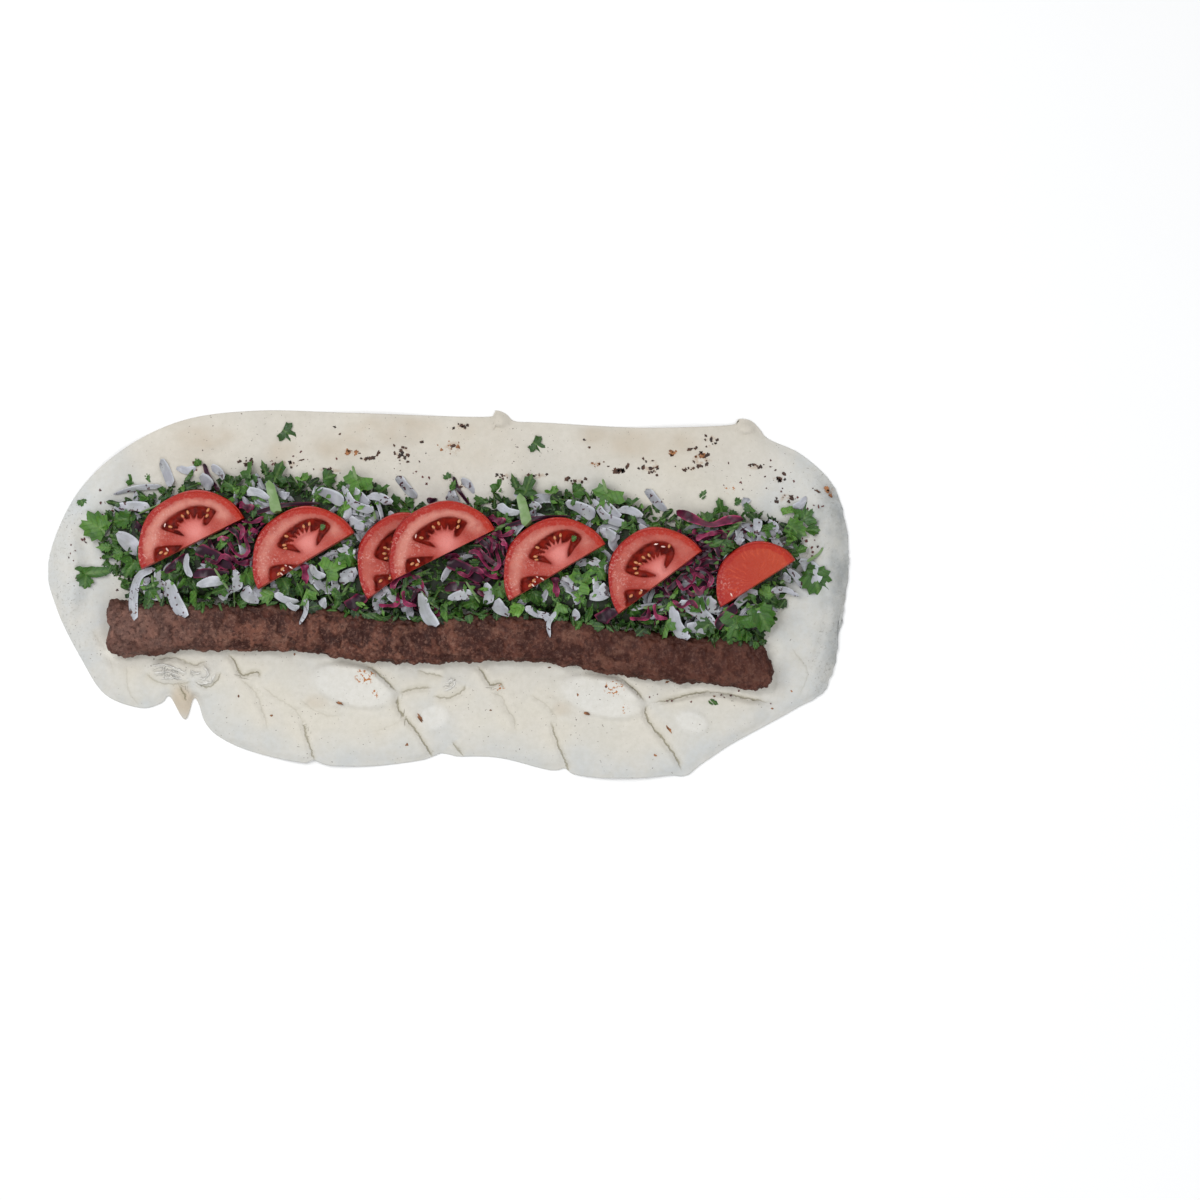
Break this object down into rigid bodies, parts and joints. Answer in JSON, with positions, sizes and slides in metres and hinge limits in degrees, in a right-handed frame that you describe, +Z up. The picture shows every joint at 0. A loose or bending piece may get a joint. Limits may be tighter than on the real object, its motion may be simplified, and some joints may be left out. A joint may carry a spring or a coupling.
{
  "type": "adana kebab wrap",
  "caption": "Open flatbread wrap carrying a long minced-meat kebab, a heap of onion, parsley and red-cabbage salad, half slices of tomato and loose parsley leaves.",
  "frame": {"origin": "under the middle of the bread's outline, on the surface that the bread lies on", "axes": "+X along the kebab, towards the end with the smallest tomato slice; +Y from the kebab to the salad; +Z up"},
  "size_m": [0.458, 0.2106, 0.0324],
  "materials": {
    "bread": "matt baked dough with brown specks",
    "meat": "grilled minced meat, coarse and slightly moist",
    "tomato": "wet cut tomato with a glossy red skin",
    "leaf": "fresh parsley leaf",
    "salad": "sliced onion, parsley and red cabbage, moist"
  },
  "bodies": {
    "root": {"bread": "bread", "kebab": "meat", "tomato_1": "tomato", "tomato_2": "tomato", "tomato_3": "tomato", "tomato_4": "tomato", "tomato_5": "tomato", "tomato_6": "tomato", "tomato_7": "tomato", "parsley_leaf_1": "leaf", "parsley_leaf_2": "leaf", "parsley_leaf_3": "leaf", "parsley_leaf_4": "leaf", "parsley_leaf_5": "leaf", "parsley_leaf_6": "leaf", "parsley_leaf_7": "leaf", "parsley_leaf_8": "leaf", "salad": "salad"}
  },
  "joints": []
}
